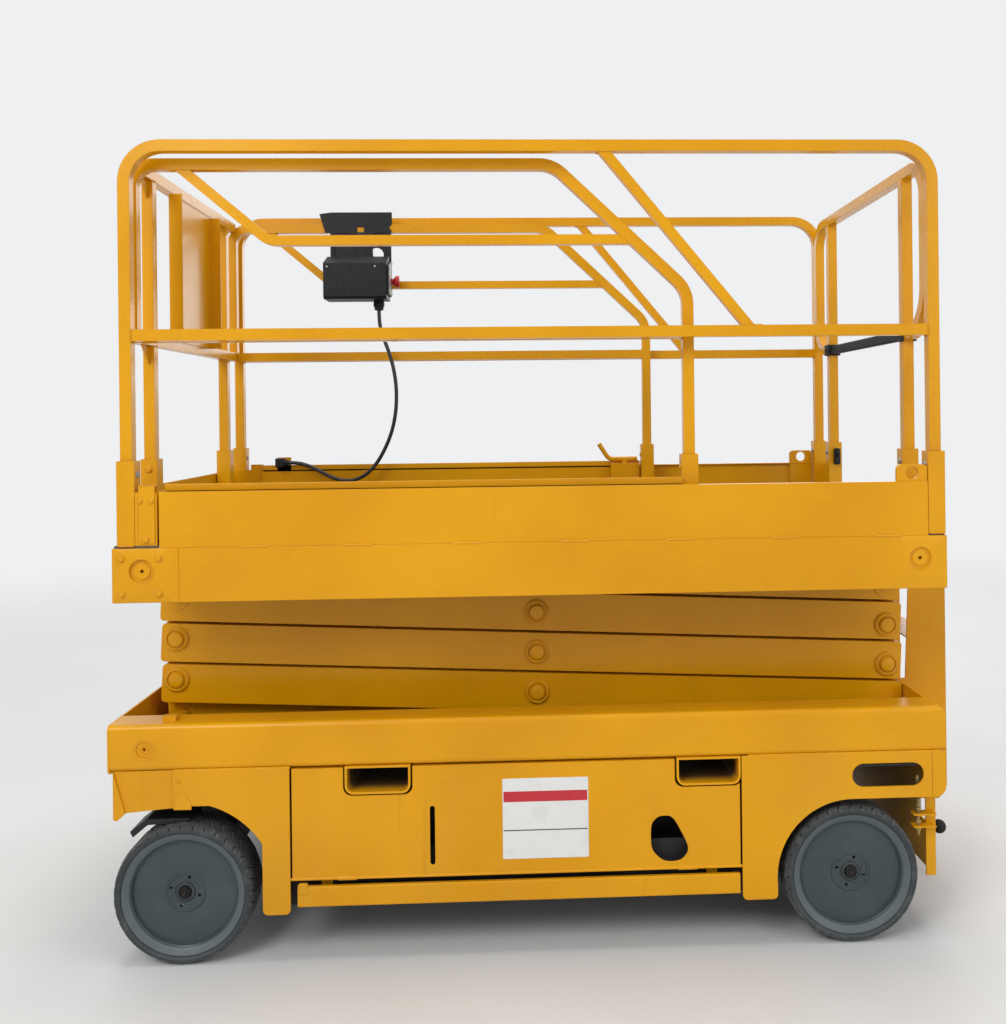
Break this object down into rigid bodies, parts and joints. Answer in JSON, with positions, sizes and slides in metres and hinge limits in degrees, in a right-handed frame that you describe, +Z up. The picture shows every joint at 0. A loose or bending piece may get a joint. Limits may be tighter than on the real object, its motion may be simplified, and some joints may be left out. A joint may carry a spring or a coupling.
{
  "type": "scissor lift",
  "caption": "Self-propelled scissor lift: stacked arms raise a railed platform with a sliding extension deck above a wheeled chassis.",
  "frame": {"origin": "on the floor, under the middle of the machine's box", "axes": "+X towards the entry end with the ladder, along the machine; +Y across it; +Z up"},
  "size_m": [2.49, 1.2, 2.273],
  "materials": {
    "yellow_paint": "gloss",
    "tyre": "matte",
    "wheel_paint": "satin",
    "black_plastic": "matte",
    "cable_rubber": "matte",
    "red_plastic": "gloss",
    "chrome": "polished",
    "dark_paint": "satin",
    "deck_steel": "matte",
    "black_grip": "matte"
  },
  "bodies": {
    "chassis": {"side_beams": "yellow_paint", "pivot_shaft": "yellow_paint", "end_plates": "yellow_paint", "front_skirts": "yellow_paint", "rear_skirts": "yellow_paint", "floor_pan": "dark_paint", "front_frame": "dark_paint", "rear_frame": "dark_paint", "fork_pockets": "yellow_paint", "power_packs": "dark_paint", "front_axle": "dark_paint", "rear_axle": "dark_paint", "ladder": "yellow_paint", "release_knob": "black_plastic"},
    "platform": {"platform_beams": "yellow_paint", "deck": "deck_steel", "toe_boards": "yellow_paint", "rail_sockets": "yellow_paint", "guardrail_near": "yellow_paint", "guardrail_far": "yellow_paint", "rear_guardrail": "yellow_paint"},
    "extension": {"extension_deck": "deck_steel", "extension_boards": "yellow_paint", "extension_rail_near": "yellow_paint", "extension_rail_far": "yellow_paint", "front_guardrail": "yellow_paint", "document_panel": "yellow_paint", "lock_lever": "yellow_paint", "control_bracket": "yellow_paint", "control_box": "black_plastic", "stop_button": "red_plastic", "cable_gland": "black_plastic", "control_cable": "cable_rubber", "cable_connector": "black_plastic"},
    "gate": {"gate_bar": "black_grip"},
    "door_near": {"door_near": "yellow_paint"},
    "guard_near": {"pothole_guard_near": "yellow_paint"},
    "knuckle_near": {"knuckle_near": "dark_paint"},
    "wheel_front_near": {"tyre_front_near": "tyre", "disc_front_near": "wheel_paint"},
    "wheel_rear_near": {"tyre_rear_near": "tyre", "disc_rear_near": "wheel_paint"},
    "door_far": {"door_far": "yellow_paint"},
    "guard_far": {"pothole_guard_far": "yellow_paint"},
    "knuckle_far": {"knuckle_far": "dark_paint"},
    "wheel_front_far": {"tyre_front_far": "tyre", "disc_front_far": "wheel_paint"},
    "wheel_rear_far": {"tyre_rear_far": "tyre", "disc_rear_far": "wheel_paint"},
    "tie_rod": {"tie_rod": "dark_paint"},
    "inner_1": {"inner_arms_1": "yellow_paint"},
    "outer_1": {"outer_arms_1": "yellow_paint"},
    "inner_2": {"inner_arms_2": "yellow_paint"},
    "outer_2": {"outer_arms_2": "yellow_paint"},
    "inner_3": {"inner_arms_3": "yellow_paint"},
    "outer_3": {"outer_arms_3": "yellow_paint"},
    "inner_4": {"inner_arms_4": "yellow_paint"},
    "outer_4": {"outer_arms_4": "yellow_paint"},
    "barrel": {"lift_barrel": "dark_paint"},
    "rod": {"lift_rod": "chrome"}
  },
  "joints": [
    {"name": "lift", "type": "hinge", "parent": "chassis", "child": "inner_1", "pos_m": [-1.1465, 0, 0.593], "axis": [0, -1, 0], "range_deg": [0, 56.5]},
    {"name": "stack_1_mid", "type": "hinge", "parent": "inner_1", "child": "outer_1", "pos_m": [-0.0675, 0, 0.654], "axis": [0, -1, 0], "range_deg": [-113, 0]},
    {"name": "stack_1_top", "type": "hinge", "parent": "outer_1", "child": "inner_2", "pos_m": [-1.1465, 0, 0.715], "axis": [0, -1, 0], "range_deg": [0, 113]},
    {"name": "stack_2_mid", "type": "hinge", "parent": "inner_2", "child": "outer_2", "pos_m": [-0.0675, 0, 0.776], "axis": [0, -1, 0], "range_deg": [-113, 0]},
    {"name": "stack_2_top", "type": "hinge", "parent": "outer_2", "child": "inner_3", "pos_m": [-1.1465, 0, 0.837], "axis": [0, -1, 0], "range_deg": [0, 113]},
    {"name": "stack_3_mid", "type": "hinge", "parent": "inner_3", "child": "outer_3", "pos_m": [-0.0675, 0, 0.898], "axis": [0, -1, 0], "range_deg": [-113, 0]},
    {"name": "stack_3_top", "type": "hinge", "parent": "outer_3", "child": "inner_4", "pos_m": [-1.1465, 0, 0.959], "axis": [0, -1, 0], "range_deg": [0, 113]},
    {"name": "stack_4_mid", "type": "hinge", "parent": "inner_4", "child": "outer_4", "pos_m": [-0.0675, 0, 1.02], "axis": [0, -1, 0], "range_deg": [-113, 0]},
    {"name": "platform_level", "type": "hinge", "parent": "outer_4", "child": "platform", "pos_m": [-1.1465, 0, 1.081], "axis": [0, -1, 0], "range_deg": [0, 56.5]},
    {"name": "barrel_turn", "type": "hinge", "parent": "inner_1", "child": "barrel", "pos_m": [0.89029, 0, 0.70815], "axis": [0, -1, 0], "range_deg": [-122.09, 0]},
    {"name": "rod_slide", "type": "slide", "parent": "barrel", "child": "rod", "axis": [-0.9954, 0, 0.0958], "range_m": [0, 0.8814]},
    {"name": "extension_slide", "type": "slide", "parent": "platform", "child": "extension", "axis": [-1, 0, 0], "range_m": [0, 0.915]},
    {"name": "gate_slide", "type": "slide", "parent": "platform", "child": "gate", "axis": [0, 0, 1], "range_m": [0, 0.33]},
    {"name": "door_near_hinge", "type": "hinge", "parent": "chassis", "child": "door_near", "pos_m": [-0.128, -0.594, 0.225], "axis": [1, 0, 0], "range_deg": [0, 90]},
    {"name": "guard_near_drop", "type": "slide", "parent": "chassis", "child": "guard_near", "axis": [0, 0, -1], "range_m": [0, 0.115]},
    {"name": "door_far_hinge", "type": "hinge", "parent": "chassis", "child": "door_far", "pos_m": [-0.128, 0.594, 0.225], "axis": [-1, 0, 0], "range_deg": [0, 90]},
    {"name": "guard_far_drop", "type": "slide", "parent": "chassis", "child": "guard_far", "axis": [0, 0, -1], "range_m": [0, 0.115]},
    {"name": "steer_near", "type": "hinge", "parent": "chassis", "child": "knuckle_near", "pos_m": [-1.048, -0.428, 0.1905], "axis": [0, 0, 1], "range_deg": [-60, 60]},
    {"name": "steer_far", "type": "hinge", "parent": "chassis", "child": "knuckle_far", "pos_m": [-1.048, 0.428, 0.1905], "axis": [0, 0, 1], "range_deg": [-60, 60]},
    {"name": "tie_rod_turn", "type": "hinge", "parent": "knuckle_near", "child": "tie_rod", "pos_m": [-0.898, -0.428, 0.1275], "axis": [0, 0, 1], "range_deg": [-60, 60]},
    {"name": "wheel_front_near_spin", "type": "hinge", "parent": "knuckle_near", "child": "wheel_front_near", "pos_m": [-1.048, -0.5365, 0.1905], "axis": [0, 1, 0], "continuous": true},
    {"name": "wheel_rear_near_spin", "type": "hinge", "parent": "chassis", "child": "wheel_rear_near", "pos_m": [0.812, -0.5365, 0.1905], "axis": [0, 1, 0], "continuous": true},
    {"name": "wheel_front_far_spin", "type": "hinge", "parent": "knuckle_far", "child": "wheel_front_far", "pos_m": [-1.048, 0.5365, 0.1905], "axis": [0, 1, 0], "continuous": true},
    {"name": "wheel_rear_far_spin", "type": "hinge", "parent": "chassis", "child": "wheel_rear_far", "pos_m": [0.812, 0.5365, 0.1905], "axis": [0, 1, 0], "continuous": true}
  ],
  "couplings": [
    {"joint": "stack_1_mid", "follows": "lift", "ratio": -2},
    {"joint": "stack_1_top", "follows": "lift", "ratio": 2},
    {"joint": "stack_2_mid", "follows": "lift", "ratio": -2},
    {"joint": "stack_2_top", "follows": "lift", "ratio": 2},
    {"joint": "stack_3_mid", "follows": "lift", "ratio": -2},
    {"joint": "stack_3_top", "follows": "lift", "ratio": 2},
    {"joint": "stack_4_mid", "follows": "lift", "ratio": -2},
    {"joint": "platform_level", "follows": "lift", "ratio": 1},
    {"joint": "barrel_turn", "follows": "lift", "ratio": -2.1607},
    {"joint": "rod_slide", "follows": "lift", "m_per_rad": 0.89371},
    {"joint": "steer_far", "follows": "steer_near", "ratio": 1},
    {"joint": "tie_rod_turn", "follows": "steer_near", "ratio": -1}
  ]
}
